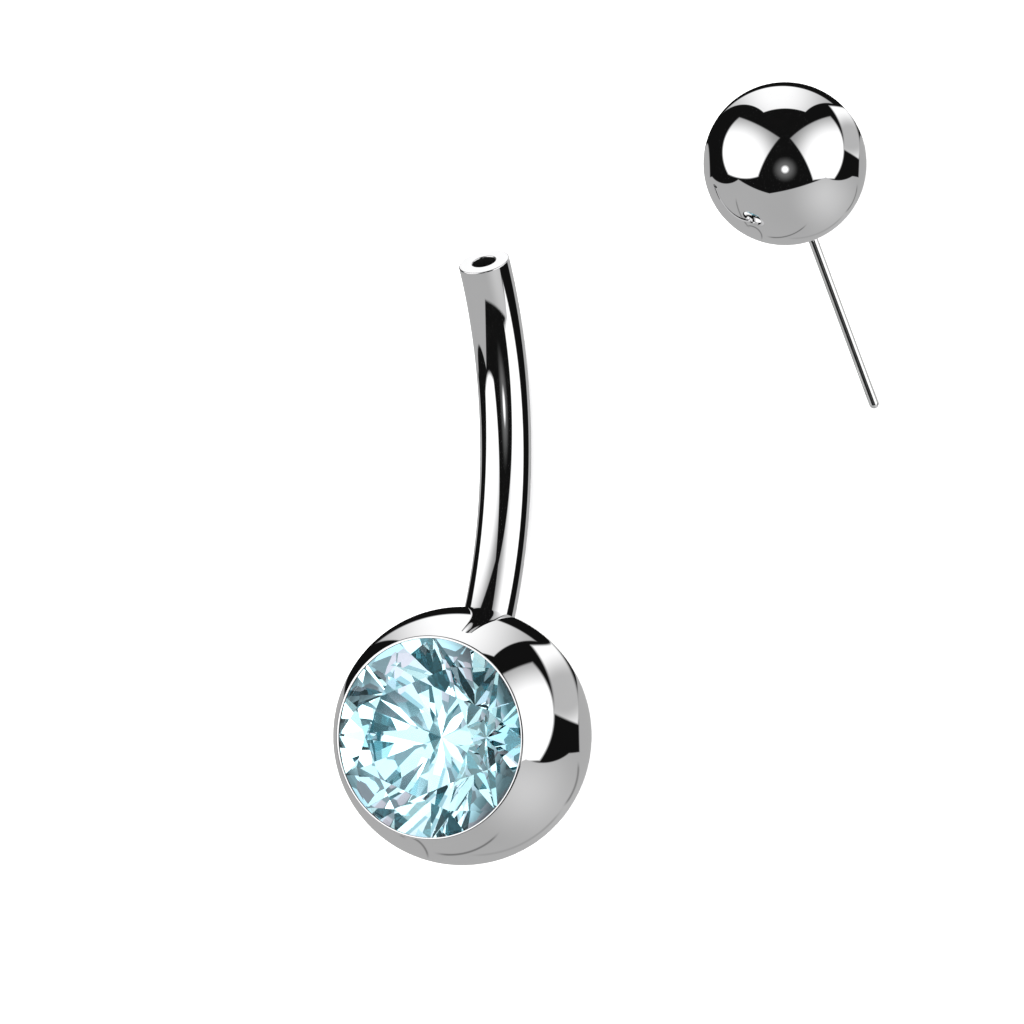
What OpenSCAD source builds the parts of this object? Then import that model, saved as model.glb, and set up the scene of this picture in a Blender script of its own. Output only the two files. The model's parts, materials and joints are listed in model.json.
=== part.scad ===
// Push-fit navel ring: a jewelled ball on a bowed bar, and the small ball that
// closes it, taken off and lying beside it. Millimetres, +Z up, at rest on Z = 0.
// The origin is the point where the jewelled ball touches the surface.

/* [Jewelled ball] */
// Diameter of the jewelled ball
ball_d = 8; // [7.6:0.1:12]
// Width of the polished lip that is rolled round the stone
lip_w = 0.07; // [0.05:0.01:0.12]
// Depth of the girdle's top below that lip's outer face
lip_t = 0.1; // [0.08:0.01:0.2]

/* [Stone] */
// Diameter of the stone at its girdle
stone_d = 6.2; // [5:0.1:6.5]
// Corner-to-corner width of the table
table_d = 3.6; // [2.8:0.1:3.9]
// Height of the crown above the girdle
crown_h = 0.92; // [0.7:0.01:1.1]
// Thickness of the girdle at its widest places
girdle_h = 0.16; // [0.14:0.01:0.3]
// Depth of the pavilion below the girdle
pavilion_h = 2.9; // [2.2:0.05:3.2]
// Lean of the stone away from the bar, out of square to the bar's root
stone_lean = 27.5; // [0:0.5:35]
// Turn of the stone about the bar's root, out of the plane of the bow
stone_turn = 3; // [0:1:30]

/* [Bar] */
// Thickness of the bar
bar_d = 1.6; // [1.2:0.1:2]
// Length of the bar along its middle, from the ball's surface to its end
bar_l = 11.6; // [9:0.1:14]
// Radius that the bar is bent to
bend_r = 12; // [10:0.5:30]
// Depth that the bar goes into the ball
root_l = 1.8; // [1:0.1:2]
// Diameter of the bore in the bar's end
bore_d = 0.74; // [0.6:0.01:0.9]
// Depth that the bore is drilled straight into the bar's end
drill_l = 1.5; // [1:0.1:2]
// Depth of the whole bore, along the bar
bore_l = 6; // [5.8:0.1:8]
// Width of the bevel round the bar's end and the bore's mouth
bevel = 0.04; // [0.02:0.01:0.1]

/* [Small ball and its pin] */
// Diameter of the small ball
top_d = 5; // [4:0.1:6]
// Thickness of the pin
pin_d = 0.3; // [0.25:0.01:0.5]
// Length of the pin that stands out of the ball
pin_l = 5.6; // [4:0.1:5.7]
// Thickness of the inner end of the pin's tapered root
pin_root_d = 0.2; // [0.15:0.01:0.24]
// Depth that the root goes into the ball
pin_root_l = 0.9; // [0.7:0.1:1.2]
// Length of the root's taper that is left outside the ball
pin_neck_l = 0.05; // [0.04:0.01:0.1]

/* [How the pieces lie] */
// Place of the small ball to the side of the jewelled ball
top_x = 10.5; // [9:0.5:20]
// Place of the small ball along the bar
top_y = 17.5; // [10:0.5:24]
// Turn of the pin away from the bar's line
pin_turn = 14; // [0:1:30]

/* [Clearances] */
// Gap between pieces that are pressed or set together
fit_gap = 0.02; // [0.01:0.005:0.03]

/* [Hidden] */

ball_r = ball_d / 2;
stone_r = stone_d / 2;
table_r = table_d / 2;
bar_r = bar_d / 2;
bore_r = bore_d / 2;
top_r = top_d / 2;
pin_r = pin_d / 2;
pin_root_r = pin_root_d / 2;
round_fn = 128;
past = 1;

// The bow: the bar leaves the ball straight out of its middle and bends all the way.
function turned(length) = length / bend_r * 180 / PI;
bow_angle = turned(bar_l);

// The seat: the ball is cut flat where the lip starts, and the girdle lies under the lip.
lip_r = stone_r + lip_w / 2;
lip_z = sqrt(ball_r * ball_r - lip_r * lip_r);
lip_hole_r = lip_r - lip_w;
girdle_top = lip_z - lip_t;
girdle_foot = girdle_top - girdle_h;
culet = girdle_foot - pavilion_h;

// The cut: eight kites and eight stars round the table, sixteen halves above the girdle
// and sixteen below it, and eight mains that meet at the culet.
folds = 8;
step = 360 / folds;
half = step / 2;
quarter = step / 4;
// How far out the stars reach, and how far in the lower halves do, as shares of the way.
star_reach = 0.5;
lower_reach = 0.78;

kite_slope = atan(crown_h / (stone_r - table_r));
table_side = table_r * cos(half);
star_r = table_side + star_reach * (stone_r - table_side);
star_drop = (star_r * cos(half) - table_r) * tan(kite_slope);
star_slope = atan(star_drop / (star_r - table_side));
upper_slope = atan((crown_h - star_drop) / ((stone_r - star_r) * cos(quarter)));
main_slope = atan(pavilion_h / stone_r);
lower_r = stone_r * (1 - lower_reach);
lower_h = pavilion_h - lower_r * cos(half) * tan(main_slope);
lower_slope = atan(lower_h / ((stone_r - lower_r) * cos(quarter)));

// Middle of the bar at an angle round its bow, as [along the root, to the inside].
function bow_point(angle) = [ball_r + bend_r * sin(angle), bend_r * (1 - cos(angle))];
bar_end = bow_point(bow_angle);

// Height over the surface of the bar's underside at a point, when the root dips.
function underside(point, angle, dip) =
    ball_r + point[1] * cos(dip) - point[0] * sin(dip) - bar_r * cos(angle - dip);
function bar_lift(dip) =
    let (lowest = min(dip, bow_angle))
    min(underside(bow_point(lowest), lowest, dip), underside(bar_end, bow_angle, dip));

// The dip at which the bar comes to lie on the surface, found by halving.
function settle(low, high, turns) =
    let (middle = (low + high) / 2)
    turns == 0 ? middle
    : bar_lift(middle) > 0 ? settle(middle, high, turns - 1)
    : settle(low, middle, turns - 1);
rest_dip = settle(0, 60, 40);

// The small ball leans until the round tip of its pin touches the surface.
pin_dip = asin((top_r - pin_r) / (top_r + pin_l - pin_r));

// The ring's own frame has the ball's middle at 0, the bar's root along +Y and the
// inside of the bow towards +Z.
module as_it_lies() {
    translate([0, 0, ball_r]) rotate([-rest_dip, 0, 0]) children();
}

// Puts what stands along +Z on the stone's axis.
module on_stone_axis() {
    rotate([0, stone_turn, 0]) rotate([stone_lean, 0, 0]) children();
}

// Puts what stands along +Z on the bar's line at its root, at its end and, for the
// small ball, on the pin's line.
module at_root() {
    rotate([-90, 0, 0]) children();
}
module at_end() {
    translate([0, bar_end[0], bar_end[1]]) rotate([bow_angle - 90, 0, 0]) children();
}
module on_pin_line() {
    translate([top_x, top_y, top_r]) rotate([0, 0, pin_turn]) rotate([90 + pin_dip, 0, 0])
        children();
}

// A round run that follows the bow from one angle to another.
module bow_run(r, from, to) {
    translate([0, ball_r, bend_r]) rotate([0, 90, 0]) rotate([0, 0, from])
        rotate_extrude(angle = to - from, $fn = 4 * round_fn)
            translate([bend_r, 0]) circle(r, $fn = round_fn / 2);
}

// Keeps what lies under a plane that slopes down and outwards through one point.
module under_facet(turn, slope, r, z) {
    big = 4 * stone_d;
    rotate([0, 0, turn]) translate([r, 0, z]) rotate([0, slope, 0])
        translate([-big / 2, -big / 2, -big]) cube(big);
}

// One facet in each fold of the cut.
module facet_ring(turn, slope, r, z) {
    intersection_for(k = [0 : folds - 1])
        under_facet(k * step + turn, slope, r, z);
}

// The crown, with the girdle's top at Z = 0.
module crown_cut() {
    intersection() {
        facet_ring(0, kite_slope, stone_r, 0);
        facet_ring(half, star_slope, table_side, crown_h);
        facet_ring(quarter, upper_slope, stone_r * cos(quarter), 0);
        facet_ring(-quarter, upper_slope, stone_r * cos(quarter), 0);
    }
}

// The pavilion, with the girdle's foot at Z = 0 and the culet pointing up.
module pavilion_cut() {
    intersection() {
        facet_ring(0, main_slope, stone_r, 0);
        facet_ring(quarter, lower_slope, stone_r * cos(quarter), 0);
        facet_ring(-quarter, lower_slope, stone_r * cos(quarter), 0);
    }
}

// The hollow that the stone drops into, and the opening inside the lip above it.
module stone_seat() {
    wall_r = stone_r + fit_gap;
    under_lip = girdle_top + fit_gap / 2;
    rotate_extrude($fn = round_fn)
        polygon([
            [0, culet - 2 * fit_gap],
            [wall_r, girdle_foot - fit_gap],
            [wall_r, under_lip],
            [lip_hole_r, under_lip + (wall_r - lip_hole_r) * tan(kite_slope)],
            [lip_hole_r, ball_r],
            [0, ball_r]
        ]);
}

// The bore: drilled straight in from the bar's end, then a shade narrower along the bow.
module bore() {
    at_end() {
        translate([0, 0, -drill_l]) cylinder(h = drill_l + past, r = bore_r, $fn = round_fn / 2);
        translate([0, 0, -2 * bevel])
            cylinder(h = 4 * bevel, r1 = bore_r - bevel, r2 = bore_r + 3 * bevel, $fn = round_fn / 2);
    }
    bow_run(bore_r - fit_gap, bow_angle - turned(bore_l), bow_angle - turned(drill_l - bevel));
}

// What comes off the edge round the bar's end.
module end_bevel() {
    at_end() translate([0, 0, -2 * bevel])
        difference() {
            cylinder(h = 4 * bevel, r = bar_d, $fn = round_fn / 2);
            cylinder(h = 4 * bevel, r1 = bar_r + bevel, r2 = bar_r - 3 * bevel, $fn = round_fn / 2);
        }
}

module jewel_ball() {
    color("silver") as_it_lies()
        difference() {
            sphere(ball_r, $fn = round_fn);
            on_stone_axis() {
                stone_seat();
                translate([0, 0, lip_z]) cylinder(h = ball_r, r = ball_r, $fn = round_fn);
            }
            at_root() translate([0, 0, ball_r - root_l])
                cylinder(h = root_l + past, r = bar_r + fit_gap, $fn = round_fn / 2);
        }
}

module stone() {
    color("paleturquoise") as_it_lies() on_stone_axis()
        intersection() {
            translate([0, 0, culet])
                cylinder(h = pavilion_h + girdle_h + crown_h, r = stone_r, $fn = round_fn);
            translate([0, 0, girdle_top]) crown_cut();
            translate([0, 0, girdle_foot]) mirror([0, 0, 1]) pavilion_cut();
        }
}

module curved_bar() {
    color("gainsboro") as_it_lies()
        difference() {
            union() {
                at_root() translate([0, 0, ball_r - root_l + fit_gap])
                    cylinder(h = root_l - fit_gap, r = bar_r, $fn = round_fn / 2);
                bow_run(bar_r, 0, bow_angle);
            }
            bore();
            end_bevel();
        }
}

module top_ball() {
    color("silver") on_pin_line()
        difference() {
            sphere(top_r, $fn = round_fn);
            translate([0, 0, top_r - pin_root_l])
                cylinder(h = pin_root_l + pin_neck_l, r1 = pin_root_r + fit_gap,
                    r2 = pin_r + fit_gap, $fn = round_fn / 2);
        }
}

module push_pin() {
    color("gainsboro") on_pin_line() {
        translate([0, 0, top_r - pin_root_l + fit_gap])
            cylinder(h = pin_root_l + pin_neck_l - fit_gap, r1 = pin_root_r, r2 = pin_r,
                $fn = round_fn / 2);
        translate([0, 0, top_r + pin_neck_l])
            cylinder(h = pin_l - pin_neck_l - pin_r, r = pin_r, $fn = round_fn / 2);
        translate([0, 0, top_r + pin_l - pin_r]) sphere(pin_r, $fn = round_fn / 2);
    }
}

jewel_ball();
stone();
curved_bar();
top_ball();
push_pin();
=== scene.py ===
"""Looks of the navel ring: mirror-polished steel, an aqua brilliant and a plain studio."""
import json
from functools import reduce
from math import asin, atan, atan2, ceil, cos, degrees, hypot, pi, radians, sin, sqrt, tan
import bmesh
import bpy
from mathutils import Matrix, Vector


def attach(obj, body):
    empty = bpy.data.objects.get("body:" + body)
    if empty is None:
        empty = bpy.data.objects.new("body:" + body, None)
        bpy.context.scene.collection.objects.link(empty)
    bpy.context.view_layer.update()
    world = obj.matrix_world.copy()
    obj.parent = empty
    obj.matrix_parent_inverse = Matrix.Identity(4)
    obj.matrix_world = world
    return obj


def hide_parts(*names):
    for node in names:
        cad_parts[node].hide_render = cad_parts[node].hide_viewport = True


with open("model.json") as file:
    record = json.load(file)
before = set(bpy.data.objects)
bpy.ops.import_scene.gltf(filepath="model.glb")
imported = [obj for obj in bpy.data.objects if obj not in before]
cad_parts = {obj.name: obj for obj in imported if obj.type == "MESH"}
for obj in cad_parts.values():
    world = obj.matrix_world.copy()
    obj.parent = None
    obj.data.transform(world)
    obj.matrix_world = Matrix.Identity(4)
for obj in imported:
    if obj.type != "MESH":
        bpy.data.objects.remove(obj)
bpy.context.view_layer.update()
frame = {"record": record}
mounts = {mount["name"]: mount for mount in frame["record"]["mounts"]}

# Driving sizes of the ring, in millimetres, as its solids have them.
MM = 0.001
BALL_R = 4.0
LIP_W = 0.07
LIP_T = 0.1
STONE_R = 3.1
TABLE_R = 1.8
CROWN_H = 0.92
GIRDLE_H = 0.16
PAVILION_H = 2.9
STONE_LEAN = 27.5
STONE_TURN = 3.0
BAR_R = 0.8
BAR_L = 11.6
BEND_R = 12.0
ROOT_L = 1.8
BORE_R = mounts["bar_bore"]["dims"]["r_mm"]
DRILL_L = 1.5
BORE_L = 6.0
BEVEL = 0.04
TOP_R = 2.5
PIN_R = mounts["ball_pin"]["dims"]["r_mm"]
PIN_L = 5.6
PIN_ROOT_R = 0.1
PIN_ROOT_L = 0.9
PIN_NECK_L = 0.05
PIN_TURN = 14.0
TOP_X = 10.5
TOP_Y = 17.5
FIT_GAP = 0.02
# How far the burnished lip's inner and outer edges are rounded, where the solid's are sharp.
LIP_EDGE = 0.012
LIP_SHOULDER = 0.08
# How far the cut's stars reach over the crown, and its lower facets over the pavilion.
STAR_REACH = 0.5
LOWER_REACH = 0.78

# How finely the round pieces are divided, round their lines and along the bar.
BALL_AROUND = 240
DRILL_AROUND = 128
GIRDLE_AROUND = 256
BAR_AROUND = 160
PIN_AROUND = 96
BOW_STEPS = 200
BORE_STEPS = 40
# How far apart the points of an arc lie at most, in degrees.
EDGE_STEP = 8
BALL_STEP = 1.5
TIP_STEP = 5
# How near to the ball's outside a point counts as on it, as a share of its radius.
ON_BALL = 1e-5

# What follows from them.
BOW_ANGLE = BAR_L / BEND_R
LIP_R = STONE_R + LIP_W / 2
LIP_Z = sqrt(BALL_R ** 2 - LIP_R ** 2)
LIP_HOLE_R = LIP_R - LIP_W
GIRDLE_TOP = LIP_Z - LIP_T
GIRDLE_FOOT = GIRDLE_TOP - GIRDLE_H
CULET = GIRDLE_FOOT - PAVILION_H
REST_DIP = BOW_ANGLE - asin(mounts["bar_bore"]["axis"][2])
PIN_DIP = asin((TOP_R - PIN_R) / (TOP_R + PIN_L - PIN_R))


def turn(angle, axis):
    return Matrix.Rotation(angle, 4, axis)


def shift(x, y, z):
    return Matrix.Translation((x, y, z))


# The ring's own frame has the ball's middle at 0, the bar's root along +Y and the inside of
# the bow towards +Z. Each piece has a frame of its own with its line along +Z.
LIES = shift(0, 0, BALL_R) @ turn(-REST_DIP, "X")
STONE_LINE = LIES @ turn(radians(STONE_TURN), "Y") @ turn(radians(STONE_LEAN), "X")
ROOT_LINE = LIES @ turn(-pi / 2, "X")
PIN_LINE = shift(TOP_X, TOP_Y, TOP_R) @ turn(radians(PIN_TURN), "Z") @ turn(pi / 2 + PIN_DIP, "X")


def along(line, z):
    return line @ shift(0, 0, z)


def bow_section(angle):
    """The frame of the bar's section at an angle round the bow, +Z along the bar."""
    middle = shift(0, BALL_R + BEND_R * sin(angle), BEND_R * (1 - cos(angle)))
    return LIES @ middle @ turn(angle - pi / 2, "X")


def arc_points(middle, r, start, end, most=EDGE_STEP):
    """Points of an arc in the (out, along) plane, from one angle in degrees to another."""
    steps = max(2, ceil(abs(end - start) / most))
    angles = [radians(start + (end - start) * k / steps) for k in range(steps + 1)]
    return [(middle[0] + r * cos(a), middle[1] + r * sin(a)) for a in angles]


def skin(name, runs, around, inside=None):
    """Lays a skin over runs of round sections, each a frame and a radius. Runs meet at sharp edges.
    Runs from the inside one on get the piece's second material, if one is named."""
    maker = bmesh.new()
    rings, sharp, second = [], [], []
    for number, run in enumerate(runs):
        if rings:
            sharp.append(rings[-1])
            run = run[1:]
        for line, r in run:
            turns = [2 * pi * k / around for k in range(around)] if r > 0 else [0]
            rings.append([maker.verts.new(line @ Vector((r * cos(a), r * sin(a), 0))) for a in turns])
            second.append(inside is not None and number >= inside)
    for low, high, inner in zip(rings, rings[1:], second[1:]):
        for k in range(around):
            corners = [low[k % len(low)], low[(k + 1) % len(low)]]
            corners += [high[(k + 1) % len(high)], high[k % len(high)]]
            face = maker.faces.new(list(dict.fromkeys(corners)))
            face.smooth = True
            face.material_index = inner
    for ring in sharp:
        for k, point in enumerate(ring):
            maker.edges.get((point, ring[(k + 1) % around])).smooth = False
    bmesh.ops.recalc_face_normals(maker, faces=maker.faces)
    mesh = bpy.data.meshes.new(name)
    maker.to_mesh(mesh)
    maker.free()
    return mesh


def turned(name, line, runs, around):
    """A piece turned about a line, from runs of (out, along) points."""
    return skin(name, [[(along(line, z), r) for r, z in run] for run in runs], around)


def place(mesh, cad_node, finishes):
    """Puts a mesh made in millimetres in the place of its solid."""
    mesh.transform(Matrix.Scale(MM, 4))
    for finish in finishes:
        mesh.materials.append(finish)
    piece = bpy.data.objects.new(mesh.name, mesh)
    bpy.context.scene.collection.objects.link(piece)
    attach(piece, "root")
    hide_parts(cad_node)
    return piece


# The jewelled ball


def seat_and_ball():
    """The ball's section about the stone's line: seat, lip and outside."""
    wall_r = STONE_R + FIT_GAP
    under_lip = GIRDLE_TOP + FIT_GAP / 2
    kite_rise = CROWN_H / (STONE_R - TABLE_R)
    lip_foot = under_lip + (wall_r - LIP_HOLE_R) * kite_rise
    seat = [(0, CULET - 2 * FIT_GAP), (wall_r, GIRDLE_FOOT - FIT_GAP)]
    wall = [seat[-1], (wall_r, under_lip)]
    under = [wall[-1], (LIP_HOLE_R, lip_foot)]
    inner = arc_points((LIP_HOLE_R + LIP_EDGE, LIP_Z - LIP_EDGE), LIP_EDGE, 180, 90)
    shoulder_z = LIP_Z - LIP_SHOULDER
    shoulder_r = sqrt((BALL_R - LIP_SHOULDER) ** 2 - shoulder_z ** 2)
    lean = degrees(atan2(shoulder_z, shoulder_r))
    outer = arc_points((shoulder_r, shoulder_z), LIP_SHOULDER, 90, lean)
    outside = arc_points((0, 0), BALL_R, lean, -90, most=BALL_STEP)
    outside[-1] = (0, -BALL_R)
    return [seat, wall, under, [under[-1]] + inner + outer + outside[1:]]


def drilled(mesh, drill):
    """A mesh with a round hole cut into it by another mesh."""
    body, tool = (bpy.data.objects.new("cut", made) for made in (mesh, drill))
    for made in (body, tool):
        bpy.context.scene.collection.objects.link(made)
    cut = body.modifiers.new("cut", "BOOLEAN")
    cut.object, cut.operation, cut.solver = tool, "DIFFERENCE", "EXACT"
    result = bpy.data.meshes.new_from_object(body.evaluated_get(bpy.context.evaluated_depsgraph_get()))
    result.name = mesh.name + "_drilled"
    for made in (body, tool):
        bpy.data.objects.remove(made)
    return result


def true_ball_normals(mesh, middle, r):
    """Gives every corner on the ball's outside its true normal, so that the mirror stays even."""
    normals = [corner.vector.copy() for corner in mesh.corner_normals]
    near = r * ON_BALL
    outside = [abs((vertex.co - middle).length - r) < near for vertex in mesh.vertices]
    for face in mesh.polygons:
        if all(outside[v] for v in face.vertices):
            for corner in face.loop_indices:
                point = mesh.vertices[mesh.loops[corner].vertex_index].co
                normals[corner] = (point - middle).normalized()
    mesh.normals_split_custom_set(normals)


def in_recess(z, r):
    """Whether a point is on the wall round the girdle, under the lip or on the lip's inner face."""
    under_lip = z < LIP_Z - LIP_T / 2 and r < STONE_R + 2 * FIT_GAP
    inner_face = r < LIP_HOLE_R + LIP_EDGE / 2
    return z > GIRDLE_FOOT - 2 * FIT_GAP and (under_lip or inner_face)


def mark_seat(mesh):
    """Gives the seat's cone the piece's second material, its painted glow, and the wall round the girdle
    its third, painted shade.
    """
    to_stone = STONE_LINE.inverted()
    wall_r = STONE_R + FIT_GAP
    low, high = CULET - 2 * FIT_GAP, GIRDLE_FOOT - FIT_GAP
    points = [to_stone @ vertex.co for vertex in mesh.vertices]
    section = [(point.z, hypot(point.x, point.y)) for point in points]
    rise = (high - low) / wall_r
    on_cone = [abs(z - low - r * rise) < FIT_GAP / 2 for z, r in section]
    near_wall = [in_recess(z, r) for z, r in section]
    for face in mesh.polygons:
        if all(on_cone[v] for v in face.vertices):
            face.material_index = 1
        elif all(near_wall[v] for v in face.vertices):
            face.material_index = 2


def make_jewel_ball(*finishes):
    ball = turned("jewel_ball_look", STONE_LINE, seat_and_ball(), BALL_AROUND)
    low, high = BALL_R - ROOT_L, BALL_R + BAR_R
    r = BAR_R + FIT_GAP
    runs = [[(0, low), (r, low)], [(r, low), (r, high)], [(r, high), (0, high)]]
    drill = turned("drill", ROOT_LINE, runs, DRILL_AROUND)
    mesh = drilled(ball, drill)
    mesh.name = "jewel_ball_look"
    true_ball_normals(mesh, Vector((0, 0, BALL_R)), BALL_R)
    mark_seat(mesh)
    return place(mesh, "jewel_ball", finishes)


# The stone


def facet_planes():
    """The facets of crown and pavilion, each a plane that falls outwards: (turn, rise, out, height)."""
    fold = pi / 4
    kite = atan(CROWN_H / (STONE_R - TABLE_R))
    side = TABLE_R * cos(fold / 2)
    star_r = side + STAR_REACH * (STONE_R - side)
    star_drop = (star_r * cos(fold / 2) - TABLE_R) * tan(kite)
    star = atan(star_drop / (star_r - side))
    upper = atan((CROWN_H - star_drop) / ((STONE_R - star_r) * cos(fold / 4)))
    main = atan(PAVILION_H / STONE_R)
    lower_r = STONE_R * (1 - LOWER_REACH)
    lower_h = PAVILION_H - lower_r * cos(fold / 2) * tan(main)
    lower = atan(lower_h / ((STONE_R - lower_r) * cos(fold / 4)))
    near_rim = STONE_R * cos(fold / 4)
    crown, pavilion = [], []
    for k in range(8):
        crown += [(k * fold, kite, STONE_R, 0), (k * fold + fold / 2, star, side, CROWN_H)]
        pavilion.append((k * fold, main, STONE_R, 0))
        for half in (fold / 4, -fold / 4):
            crown.append((k * fold + half, upper, near_rim, 0))
            pavilion.append((k * fold + half, lower, near_rim, 0))
    return crown, pavilion


def cut_off(maker, point, outward):
    """Cuts away what lies outside a plane and closes the stone with one flat facet."""
    geometry = maker.verts[:] + maker.edges[:] + maker.faces[:]
    cut = bmesh.ops.bisect_plane(
        maker, geom=geometry, dist=1e-7, plane_co=point, plane_no=outward, clear_outer=True)
    edges = [item for item in cut["geom_cut"] if isinstance(item, bmesh.types.BMEdge)]
    rim = [edge for edge in edges if edge.is_boundary]
    bmesh.ops.edgeloop_fill(maker, edges=rim)


def make_stone(finish):
    maker = bmesh.new()
    bmesh.ops.create_cone(
        maker, cap_ends=True, segments=GIRDLE_AROUND, radius1=STONE_R, radius2=STONE_R, depth=2 * BALL_R)
    crown, pavilion = facet_planes()
    crown.append((0, 0, 0, CROWN_H))
    for girdle, way, planes in ((GIRDLE_TOP, 1, crown), (GIRDLE_FOOT, -1, pavilion)):
        for a, rise, out, height in planes:
            point = Vector((out * cos(a), out * sin(a), girdle + way * height))
            outward = Vector((sin(rise) * cos(a), sin(rise) * sin(a), way * cos(rise)))
            cut_off(maker, point, outward)
    bmesh.ops.recalc_face_normals(maker, faces=maker.faces)
    maker.transform(STONE_LINE)
    mesh = bpy.data.meshes.new("stone_look")
    maker.to_mesh(mesh)
    maker.free()
    return place(mesh, "stone", [finish])


# The bar


def make_bar(*finishes):
    """The bar's skin, from its root in the ball round the bow, over its end and down the bore."""
    end = bow_section(BOW_ANGLE)
    root = [(along(ROOT_LINE, BALL_R - ROOT_L + FIT_GAP), r) for r in (0, BAR_R)]
    bow = [(bow_section(BOW_ANGLE * k / BOW_STEPS), BAR_R) for k in range(BOW_STEPS)]
    rim = arc_points((BAR_R - BEVEL, -BEVEL), BEVEL, 0, 90)
    mouth = arc_points((BORE_R + BEVEL, -BEVEL), BEVEL, 90, 180)
    outside = [root[-1]] + bow + [(along(end, z), r) for r, z in rim + mouth]
    bore = [outside[-1], (along(end, -DRILL_L), BORE_R)]
    deep = BOW_ANGLE - BORE_L / BEND_R
    inner = BOW_ANGLE - DRILL_L / BEND_R
    angles = [inner + (deep - inner) * k / BORE_STEPS for k in range(BORE_STEPS + 1)]
    bow_bore = [bore[-1]] + [(bow_section(angle), BORE_R - FIT_GAP) for angle in angles]
    bottom = [bow_bore[-1], (bow_section(deep), 0)]
    mesh = skin("curved_bar_look", [root, outside, bore, bow_bore, bottom], BAR_AROUND, inside=2)
    return place(mesh, "curved_bar", finishes)


# The small ball and its pin


def make_top_ball(finish):
    depth = TOP_R - PIN_ROOT_L
    foot_r, mouth_r = PIN_ROOT_R + FIT_GAP, PIN_R + FIT_GAP
    mouth = (mouth_r, sqrt(TOP_R ** 2 - mouth_r ** 2))
    outside = arc_points((0, 0), TOP_R, degrees(atan2(mouth[1], mouth[0])), -90, most=BALL_STEP)
    outside[-1] = (0, -TOP_R)
    runs = [[(0, depth), (foot_r, depth)], [(foot_r, depth), mouth], [mouth] + outside[1:]]
    mesh = turned("top_ball_look", PIN_LINE, runs, BALL_AROUND)
    return place(mesh, "top_ball", [finish])


def make_pin(finish):
    foot = TOP_R - PIN_ROOT_L + FIT_GAP
    neck = (PIN_R, TOP_R + PIN_NECK_L)
    tip_z = TOP_R + PIN_L - PIN_R
    tip = arc_points((0, tip_z), PIN_R, 0, 90, most=TIP_STEP)
    tip[-1] = (0, tip_z + PIN_R)
    runs = [[(0, foot), (PIN_ROOT_R, foot)], [(PIN_ROOT_R, foot), neck], [neck] + tip]
    mesh = turned("push_pin_look", PIN_LINE, runs, PIN_AROUND)
    return place(mesh, "push_pin", [finish])


# Nodes of materials and of the studio


def wire(tree, kind, *feeds, **choices):
    """Adds a node, sets its choices, and feeds its inputs in order, each with a value or a socket."""
    node = tree.nodes.new("ShaderNode" + kind)
    for name, choice in choices.items():
        setattr(node, name, choice)
    for socket, feed in zip(node.inputs, feeds):
        if isinstance(feed, bpy.types.NodeSocket):
            tree.links.new(feed, socket)
        elif feed is not None:
            socket.default_value = feed
    return node


def math(tree, operation, *feeds, **choices):
    return wire(tree, "Math", *feeds, operation=operation, **choices).outputs[0]


def ramp(tree, value, low, high, start=0.0, end=1.0):
    """Takes a value smoothly from start to end while it goes from low to high."""
    node = wire(tree, "MapRange", value, low, high, start, end, interpolation_type="SMOOTHSTEP")
    return node.outputs[0]


def between(tree, share, one, other):
    """A colour between two tints."""
    mix = wire(tree, "Mix", share, data_type="RGBA")
    mix.inputs[6].default_value = (*one, 1)
    mix.inputs[7].default_value = (*other, 1)
    return mix.outputs[2]


def new_group(name, inputs, outputs):
    """A node group with named sockets, and its inner input and output nodes."""
    group = bpy.data.node_groups.new(name, "ShaderNodeTree")
    for socket, kind in inputs.items():
        group.interface.new_socket(socket, in_out="INPUT", socket_type="NodeSocket" + kind)
    for socket, kind in outputs.items():
        group.interface.new_socket(socket, in_out="OUTPUT", socket_type="NodeSocket" + kind)
    return group, group.nodes.new("NodeGroupInput").outputs, group.nodes.new("NodeGroupOutput").inputs


# Fineness and roughness of the noise behind the wheel's marks, and the part of it that shows.
HAIRLINE_NOISE = (3.0, 0.6)
HAIRLINE_RANGE = (0.56, 0.72)
FILM_PER_METRE = 420.0
FILM_NOISE = (2.0, 0.5)
FILM_RANGE = (0.35, 0.7)
RELIEF_HEIGHT = 1e-6


def polish_group():
    """What a polishing wheel leaves: hairlines, a soft film, and the hairlines' relief."""
    inputs = {"Per metre": "Float", "Stretch": "Vector", "Depth": "Float"}
    outputs = {"Hairlines": "Float", "Film": "Float", "Normal": "Vector"}
    group, given, made = new_group("polish", inputs, outputs)
    where = wire(group, "TexCoord").outputs["Object"]
    stretched = wire(group, "VectorMath", where, given["Stretch"], operation="MULTIPLY").outputs[0]
    fine = wire(group, "TexNoise", stretched, None, given["Per metre"], *HAIRLINE_NOISE).outputs[0]
    hairlines = ramp(group, fine, *HAIRLINE_RANGE)
    broad = wire(group, "TexNoise", where, None, FILM_PER_METRE, *FILM_NOISE).outputs[0]
    film = ramp(group, broad, *FILM_RANGE)
    relief = wire(group, "Bump", given["Depth"], RELIEF_HEIGHT, None, hairlines)
    relief.invert = True
    group.links.new(hairlines, made["Hairlines"])
    group.links.new(film, made["Film"])
    group.links.new(relief.outputs[0], made["Normal"])
    return group


# The recesses' near-black grey is painted shade; their roughness is that of steel no wheel reaches.
RECESS_SHADE_GREY = (0.05, 0.05, 0.05)
RECESS_ROUGH = 0.5
FLOOR_PALE = (0.9, 0.9, 0.9)

# The stone: its tint in two depths, and the tint of what its facets mirror.
ZIRCONIA_IOR = 2.15
TINT_PER_METRE = 900.0
STONE_PALE = (0.52, 0.86, 0.93)
STONE_DEEP = (0.45, 0.82, 0.91)
STONE_MIRROR = (0.20, 0.65, 0.80)
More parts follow.
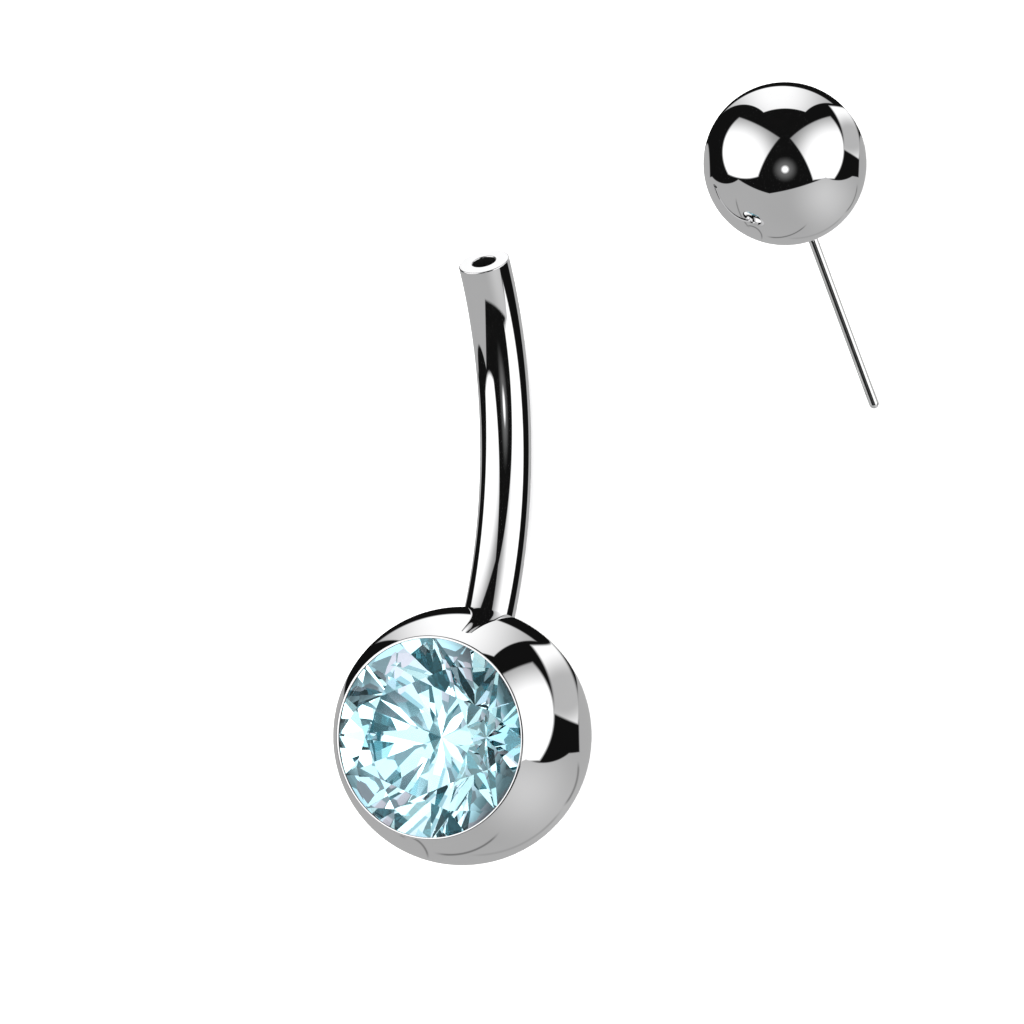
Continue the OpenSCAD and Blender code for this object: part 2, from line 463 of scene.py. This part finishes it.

# The seat behind it, whose glow is a painted reflection: two tints of the glow, the share of planes that
# are dim or bright, how bright these are, and where, across the ball in millimetres, painted shade fades
# it to its least.
SEAT_GREY = (0.10, 0.10, 0.10)
SEAT_GLOW_MAUVE = (0.80, 0.62, 0.70)
SEAT_GLOW_AQUA = (0.60, 0.85, 0.95)
SEAT_CHANCE = (0.15, 0.85)
SEAT_LIGHT = (0.40, 1.65)
SEAT_BRIGHT_X = -0.2
SEAT_DIM_X = 1.8
SEAT_DIM = 0.08
PLANES_PER_METRE = 1100.0


def new_material(name):
    """A material with its Principled shader, and that shader's sockets."""
    material = bpy.data.materials.new(name)
    material.use_nodes = True
    tree = material.node_tree
    tree.nodes.clear()
    shader = wire(tree, "BsdfPrincipled")
    output = tree.nodes.new("ShaderNodeOutputMaterial")
    tree.links.new(shader.outputs[0], output.inputs[0])
    return material, tree, shader.inputs


def steel(name, polish, clear, dull, roughness, per_metre, stretch, depth):
    """Surgical steel: clear where the polish is fresh, duller under the film and in the hairlines."""
    material, tree, shader = new_material(name)
    marks = wire(tree, "Group", node_tree=polish)
    marks.inputs["Per metre"].default_value = per_metre
    marks.inputs["Stretch"].default_value = stretch
    marks.inputs["Depth"].default_value = depth
    tint = between(tree, marks.outputs["Film"], clear, dull)
    tree.links.new(tint, shader["Base Color"])
    smooth, worn = roughness
    haze = math(tree, "MULTIPLY_ADD", marks.outputs["Hairlines"], worn - smooth, smooth)
    tree.links.new(haze, shader["Roughness"])
    tree.links.new(marks.outputs["Normal"], shader["Normal"])
    shader["Metallic"].default_value = 1.0
    return material


def recess_shade_steel():
    """The drilled wall of the bore and the wall round the girdle: rough, as no wheel reaches them, and
    near black as painted shade.
    """
    material, tree, shader = new_material("recess_shade_steel")
    # Painted shade: a near-black tint where these recesses fall in shadow.
    shader["Base Color"].default_value = (*RECESS_SHADE_GREY, 1)
    shader["Roughness"].default_value = RECESS_ROUGH
    shader["Metallic"].default_value = 1.0
    return material


def seat_painted_glow():
    """The burnished seat behind the stone, glowing as a painted reflection of the light that its many
    small planes give back, some mauve and some aqua, with painted shade on the side that is seen along
    the slope."""
    material, tree, shader = new_material("seat_painted_glow")
    where = wire(tree, "TexCoord").outputs["Object"]
    # Painted reflection: each of the seat's small planes glows mauve or aqua, dim or bright.
    planes = wire(tree, "TexVoronoi", where, None, PLANES_PER_METRE).outputs["Color"]
    chance = wire(tree, "SeparateColor", planes).outputs
    tint = between(tree, chance[1], SEAT_GLOW_MAUVE, SEAT_GLOW_AQUA)
    tree.links.new(tint, shader["Emission Color"])
    # Painted shade: the glow fades across the ball, less on the side that is seen along the slope.
    across = wire(tree, "SeparateXYZ", where).outputs[0]
    side = ramp(tree, across, SEAT_BRIGHT_X * MM, SEAT_DIM_X * MM, 1.0, SEAT_DIM)
    light = math(tree, "MULTIPLY", ramp(tree, chance[0], *SEAT_CHANCE, *SEAT_LIGHT), side)
    tree.links.new(light, shader["Emission Strength"])
    shader["Base Color"].default_value = (*SEAT_GREY, 1)
    shader["Roughness"].default_value = 1.0
    return material


def aqua_stone(polish):
    """Cubic zirconia: clear, a little deeper in tint here and there, and polished without a mark."""
    material, tree, shader = new_material("aqua_stone")
    marks = wire(tree, "Group", node_tree=polish)
    marks.inputs["Per metre"].default_value = TINT_PER_METRE
    marks.inputs["Stretch"].default_value = (1, 1, 1)
    tint = between(tree, marks.outputs["Film"], STONE_PALE, STONE_DEEP)
    tree.links.new(tint, shader["Base Color"])
    shader["Specular Tint"].default_value = (*STONE_MIRROR, 1)
    shader["Roughness"].default_value = 0.0
    shader["IOR"].default_value = ZIRCONIA_IOR
    shader["Transmission Weight"].default_value = 1.0
    return material


def floor_white():
    material, tree, shader = new_material("floor_white")
    shader["Base Color"].default_value = (*FLOOR_PALE, 1)
    shader["Roughness"].default_value = 1.0
    shader["Specular IOR Level"].default_value = 0.0
    return material


# The camera


def look_from(azimuth, elevation, roll):
    """The camera's right, up and backward directions, from degrees. Azimuth 0 looks along +Y."""
    a, e, r = radians(azimuth), radians(elevation), radians(roll)
    back = Vector((sin(a) * cos(e), -cos(a) * cos(e), sin(e)))
    level = Vector((cos(a), sin(a), 0))
    raised = back.cross(level)
    right = cos(r) * level + sin(r) * raised
    return right, back.cross(right), back


SIGHT = look_from(90.092, 63.543, -90.647)
LENS = 400.0
SENSOR = 36.0
SIGHT_FAR = 351.866
SIGHT_RANGE = (0.01, 10.0)
AIM_RIGHT = 1.536
AIM_UP = 6.927


def set_camera():
    """Looks at the ring from the photograph's angle, through a long lens."""
    right, up, back = SIGHT
    aim = Vector((0, 0, BALL_R)) + AIM_RIGHT * right + AIM_UP * up
    lens = bpy.data.cameras.new("camera")
    lens.lens = LENS
    lens.sensor_width = SENSOR
    lens.clip_start, lens.clip_end = SIGHT_RANGE
    camera = bpy.data.objects.new("camera", lens)
    seen = Matrix((right, up, back)).transposed().to_4x4()
    camera.matrix_world = Matrix.Translation((aim + SIGHT_FAR * back) * MM) @ seen
    bpy.context.scene.collection.objects.link(camera)
    bpy.context.scene.camera = camera


# The studio


# The studio's light is laid out the way a mirror ball shows it to the camera: across from -1 to
# 1, up from -1 to 1. Each edge of a panel is an arc through three such places. A glow is bright
# near its middle and goes dim with the way from it.
SOFT_EDGE = 0.012
PANEL_EDGE = 0.024
# Places that tell an arc's two sides apart.
ABOVE = (0, 1.5)
CENTRE = (0, 0)
BELOW = (0, -3)
WALL_DARK = 0.006
WINDOW_GLOW = {"near": 0.28, "far": 0.62, "bright": 1.25, "dim": 0.34}
RIGHT_WINDOW = {
    "middle": (0.46, 0.13),
    "reach": 0.60,
    "glow": {"middle": (0.62, 0.02), **WINDOW_GLOW},
    "edges": [
        ((0.056, 0.294), (0.29, 0.470), (0.545, 0.570)),
        ((0.545, 0.570), (0.706, 0.12), (0.595, -0.185)),
        ((0.595, -0.185), (0.47, -0.190), (0.335, -0.210)),
        ((0.335, -0.210), (0.225, 0.05), (0.056, 0.294)),
    ],
}
LEFT_WINDOW = {
    "middle": (-0.50, 0.13),
    "reach": 0.60,
    "glow": {"middle": (-0.64, 0.02), **WINDOW_GLOW},
    "edges": [
        ((-0.075, 0.300), (-0.315, 0.455), (-0.55, 0.57)),
        ((-0.55, 0.57), (-0.765, 0.13), (-0.70, -0.13)),
        ((-0.70, -0.13), (-0.54, -0.185), (-0.340, -0.168)),
        ((-0.340, -0.168), (-0.235, 0.077), (-0.075, 0.300)),
    ],
}
SIDE_PANEL = {
    "middle": (0.79, 0.33),
    "reach": 0.45,
    "glow": {"middle": (0.79, 0.33), "near": 0.12, "far": 0.34, "bright": 0.50, "dim": 1.1},
    "edges": [
        ((0.557, 0.677), (0.692, 0.385), (0.706, 0.175)),
        ((0.706, 0.175), (0.80, 0.127), (0.89, 0.083)),
        ((0.895, 0.083), (0.870, 0.432), (0.760, 0.640)),
        ((0.50, 0.700), (0.60, 0.6965), (0.72, 0.690)),
    ],
}
# The white cap above: three dark arches under it, a dark rim over it.
CAP_ARCHES = [
    ((-0.70, 0.69), (-0.50, 0.735), (-0.26, 0.62)),
    ((-0.26, 0.62), (0.0, 0.664), (0.245, 0.62)),
    ((0.245, 0.62), (0.50, 0.735), (0.67, 0.70)),
]
CAP_TOP = ((-0.58, 0.778), (-0.15, 0.938), (0.53, 0.764))
CAP_LOW = 0.58
CAP_GLOW = {"middle": (-0.08, 0.88), "near": 0.10, "far": 0.75, "bright": 1.1, "dim": 0.42}
# The pale floor: the dark feet and the dark point reach into it from above, and a narrow strip of
# it shows round the sides.
DARK_FEET = [
    ((-0.93, -0.05), (-0.825, -0.215), (-0.58, -0.20)),
    ((0.925, 0.00), (0.80, -0.155), (0.57, -0.200)),
]
DARK_POINT = [
    ((-0.58, -0.20), (-0.38, -0.315), (-0.20, -0.378)),
    ((-0.20, -0.378), (0.12, -0.310), (0.42, -0.205)),
]
FLOOR_TOP = -0.14
FLOOR_GLOW = {"middle": (0.49, -0.40), "near": 0.0, "far": 0.50, "bright": 0.64, "dim": 0.43}
STRIP_SHIFT = 0.012
STRIP_ACROSS = 0.914
STRIP_TOP = 0.42
# The floor's thin seams, each seen for a way from its middle.
SEAM_HALF = (0.003, 0.012)
SEAM_CLEAR = 0.6
SEAMS = [
    {"arc": ((-0.61, -0.28), (-0.60, -0.49), (-0.447, -0.78)),
     "middle": (-0.54, -0.62), "reach": 0.22, "light": 0.25},
    {"arc": ((-0.430, -0.769), (-0.326, -0.815), (-0.273, -0.890)),
     "middle": (-0.34, -0.82), "reach": 0.16, "light": 0.22},
    {"arc": ((-0.179, -0.905), (0.031, -0.895), (0.263, -0.758)),
     "middle": (0.05, -0.87), "reach": 0.28, "light": 0.20},
    {"arc": ((0.105, -0.916), (0.409, -0.853), (0.724, -0.622)),
     "middle": (0.44, -0.83), "reach": 0.44, "light": 0.36},
    {"arc": ((0.89, -0.26), (0.857, -0.416), (0.80, -0.52)),
     "middle": (0.86, -0.40), "reach": 0.20, "light": 0.25},
]
# The small lamp between the windows, and the glow round it.
LAMP = {"middle": (-0.01, -0.085), "near": 0.02, "far": 0.06, "bright": 1.1, "dim": 0.0}
LAMP_HALO = {"middle": (-0.01, -0.085), "near": 0.03, "far": 0.17, "bright": 0.16, "dim": 0.0}
# What the stone takes in through its facets: the studio stronger, an even part, and a broad glow.
STONE_GAIN = 1.9
STONE_EVEN = 0.03
STONE_FILL = {"middle": (-0.28, 0.0), "near": 0.15, "far": 0.46, "bright": 1.5, "dim": 0.0}
# The plain soft light all round, as things are lit by it and as the camera sees it.
ROOM_LIGHT = 2.6
ROOM_SEEN = 1.0
# The wide floor, in metres.
FLOOR_R = 3.0
FLOOR_AROUND = 96


def circle_through(p, q, r):
    """Middle and radius of the circle through three places."""
    (ax, ay), (bx, by), (cx, cy) = p, q, r
    d = 2 * (ax * (by - cy) + bx * (cy - ay) + cx * (ay - by))
    a, b, c = (x * x + y * y for x, y in (p, q, r))
    across = (a * (by - cy) + b * (cy - ay) + c * (ay - by)) / d
    upward = (a * (cx - bx) + b * (ax - cx) + c * (bx - ax)) / d
    return (across, upward), hypot(ax - across, ay - upward)


def within_group():
    """How far a place lies within a circle, or, on its other side, without it."""
    inputs = {"Place": "Vector", "Middle": "Vector", "Radius": "Float", "Side": "Float"}
    group, given, made = new_group("within", inputs, {"Depth": "Float"})
    away = wire(group, "VectorMath", given["Place"], given["Middle"], operation="DISTANCE")
    inwards = math(group, "SUBTRACT", given["Radius"], away.outputs["Value"])
    depth = math(group, "MULTIPLY", inwards, given["Side"])
    group.links.new(depth, made["Depth"])
    return group


class Studio:
    """The world's nodes: panels, walls and floor painted one over another as brightness."""

    def __init__(self, tree):
        self.tree = tree
        self.within = within_group()
        right, up, back = SIGHT
        ray = wire(tree, "TexCoord").outputs["Generated"]
        turned_back = wire(tree, "VectorMath", ray, tuple(back), operation="ADD").outputs[0]
        halfway = wire(tree, "VectorMath", turned_back, operation="NORMALIZE").outputs[0]
        across = wire(tree, "VectorMath", halfway, tuple(right), operation="DOT_PRODUCT")
        upward = wire(tree, "VectorMath", halfway, tuple(up), operation="DOT_PRODUCT")
        self.across = across.outputs["Value"]
        self.upward = upward.outputs["Value"]
        self.place = wire(tree, "CombineXYZ", self.across, self.upward).outputs[0]

    def depth(self, edge, inside):
        """Depth within the arc's circle, on the side where the given place is."""
        middle, r = circle_through(*edge)
        side = 1 if hypot(inside[0] - middle[0], inside[1] - middle[1]) < r else -1
        feeds = (self.place, (*middle, 0), r, float(side))
        return wire(self.tree, "Group", *feeds, node_tree=self.within).outputs[0]

    def least(self, depths):
        return reduce(lambda one, other: math(self.tree, "MINIMUM", one, other), depths)

    def most(self, depths):
        return reduce(lambda one, other: math(self.tree, "MAXIMUM", one, other), depths)

    def away_from(self, middle):
        """How far the place lies from a middle."""
        away = wire(self.tree, "VectorMath", self.place, (*middle, 0), operation="DISTANCE")
        return away.outputs["Value"]

    def cover(self, depth, soft=SOFT_EDGE):
        """How much a shape covers: all of it inside, with a soft edge."""
        return ramp(self.tree, depth, -soft / 2, soft / 2)

    def paint(self, under, light, cover):
        """Lays a light over what is under it."""
        change = math(self.tree, "SUBTRACT", light, under)
        return math(self.tree, "MULTIPLY_ADD", change, cover, under)

    def reach(self, middle, far):
        """Depth within a plain circle, which keeps the arcs' far sides out."""
        return math(self.tree, "SUBTRACT", far, self.away_from(middle))

    def glow(self, middle, near, far, bright, dim):
        """Bright round a middle, going dim away from it."""
        return ramp(self.tree, self.away_from(middle), near, far, bright, dim)

    def seam(self, line):
        """How much a thin seam of the floor covers, near its middle."""
        off = math(self.tree, "ABSOLUTE", self.depth(line["arc"], line["middle"]))
        near = self.glow(line["middle"], line["reach"] * SEAM_CLEAR, line["reach"], 1.0, 0.0)
        return math(self.tree, "MULTIPLY", ramp(self.tree, off, *SEAM_HALF, 1.0, 0.0), near)

    def panel(self, panel):
        """How much a panel covers: the inside of its four edges."""
        within = [self.depth(edge, panel["middle"]) for edge in panel["edges"]]
        depth = self.least(within + [self.reach(panel["middle"], panel["reach"])])
        return self.cover(depth, PANEL_EDGE)


def cap_cover(studio):
    """The white cap above, over the dark arches and under the dark rim."""
    over = [studio.depth(arch, ABOVE) for arch in CAP_ARCHES]
    above = math(studio.tree, "SUBTRACT", studio.upward, CAP_LOW)
    return studio.cover(studio.least(over + [studio.depth(CAP_TOP, CENTRE), above]))


def floor_cover(studio):
    """The pale floor, below the dark feet and point, and round the sides as a narrow strip."""
    tree = studio.tree
    out_of_feet = [studio.depth(foot, BELOW) for foot in DARK_FEET]
    out_of_point = studio.most([studio.depth(edge, BELOW) for edge in DARK_POINT])
    low = math(tree, "SUBTRACT", FLOOR_TOP, studio.upward)
    below = studio.least(out_of_feet + [out_of_point, low])
    off_middle = math(tree, "ABSOLUTE", math(tree, "ADD", studio.across, STRIP_SHIFT))
    sideways = math(tree, "SUBTRACT", off_middle, STRIP_ACROSS)
    strip = math(tree, "MINIMUM", sideways, math(tree, "SUBTRACT", STRIP_TOP, studio.upward))
    return studio.cover(math(tree, "MAXIMUM", below, strip))


def light_studio(studio):
    """Paints the studio and returns its brightness."""
    light = studio.paint(WALL_DARK, studio.glow(**CAP_GLOW), cap_cover(studio))
    for panel in (RIGHT_WINDOW, LEFT_WINDOW, SIDE_PANEL):
        light = studio.paint(light, studio.glow(**panel["glow"]), studio.panel(panel))
    floor_light = studio.glow(**FLOOR_GLOW)
    for line in SEAMS:
        floor_light = studio.paint(floor_light, line["light"], studio.seam(line))
    light = studio.paint(light, floor_light, floor_cover(studio))
    lamp = math(studio.tree, "ADD", studio.glow(**LAMP), studio.glow(**LAMP_HALO))
    return math(studio.tree, "ADD", light, lamp)


def set_studio():
    """Plain soft white light all round, and the panels, which only steel and stone mirror."""
    world = bpy.data.worlds.new("studio")
    world.use_nodes = True
    bpy.context.scene.world = world
    tree = world.node_tree
    tree.nodes.clear()
    studio = Studio(tree)
    mirrored = light_studio(studio)
    path = wire(tree, "LightPath").outputs
    in_stone = math(tree, "MULTIPLY_ADD", mirrored, STONE_GAIN, studio.glow(**STONE_FILL))
    in_stone = math(tree, "ADD", in_stone, STONE_EVEN)
    glossy = path["Is Glossy Ray"]
    through = path["Is Transmission Ray"]
    plain = math(tree, "MULTIPLY_ADD", path["Is Camera Ray"], ROOM_SEEN - ROOM_LIGHT, ROOM_LIGHT)
    light = math(tree, "MULTIPLY_ADD", math(tree, "SUBTRACT", mirrored, plain), glossy, plain)
    light = math(tree, "MULTIPLY_ADD", math(tree, "SUBTRACT", in_stone, light), through, light)
    background = wire(tree, "Background", None, light)
    background.inputs[0].default_value = (1, 1, 1, 1)
    output = tree.nodes.new("ShaderNodeOutputWorld")
    tree.links.new(background.outputs[0], output.inputs[0])


def lay_floor(finish):
    """A wide plain floor that the ring rests on. Steel and stone show the studio in its place."""
    maker = bmesh.new()
    bmesh.ops.create_circle(maker, cap_ends=True, segments=FLOOR_AROUND, radius=FLOOR_R)
    mesh = bpy.data.meshes.new("floor")
    maker.to_mesh(mesh)
    maker.free()
    mesh.materials.append(finish)
    floor = bpy.data.objects.new("floor", mesh)
    bpy.context.scene.collection.objects.link(floor)
    floor.visible_glossy = False
    floor.visible_transmission = False


polish = polish_group()
ball_steel = steel(
    "ball_steel", polish, clear=(0.93, 0.93, 0.935), dull=(0.90, 0.90, 0.905),
    roughness=(0.015, 0.05), per_metre=9000.0, stretch=(1, 1, 1), depth=0.02)
bar_steel = steel(
    "bar_steel", polish, clear=(0.92, 0.92, 0.925), dull=(0.89, 0.89, 0.895),
    roughness=(0.02, 0.06), per_metre=16000.0, stretch=(1, 0.02, 1), depth=0.04)
pin_steel = steel(
    "pin_steel", polish, clear=(0.90, 0.90, 0.90), dull=(0.86, 0.86, 0.86),
    roughness=(0.05, 0.12), per_metre=20000.0, stretch=(1, 0.02, 1), depth=0.08)

set_camera()
# Painted shade: the bore's wall and the wall round the girdle take a near-black steel.
wall_shade_steel = recess_shade_steel()
# The seat behind the stone glows as a painted reflection.
make_jewel_ball(ball_steel, seat_painted_glow(), wall_shade_steel)
make_stone(aqua_stone(polish))
make_bar(bar_steel, wall_shade_steel)
for taken_off in (make_top_ball(ball_steel), make_pin(pin_steel)):
    # The photo's views were taken one by one, so the ring mirrors nothing of the small ball.
    taken_off.visible_glossy = False
lay_floor(floor_white())
set_studio()

scene = bpy.context.scene
scene.view_settings.view_transform = "Standard"
scene.cycles.max_bounces = 32
scene.cycles.glossy_bounces = 24
scene.cycles.transmission_bounces = 24
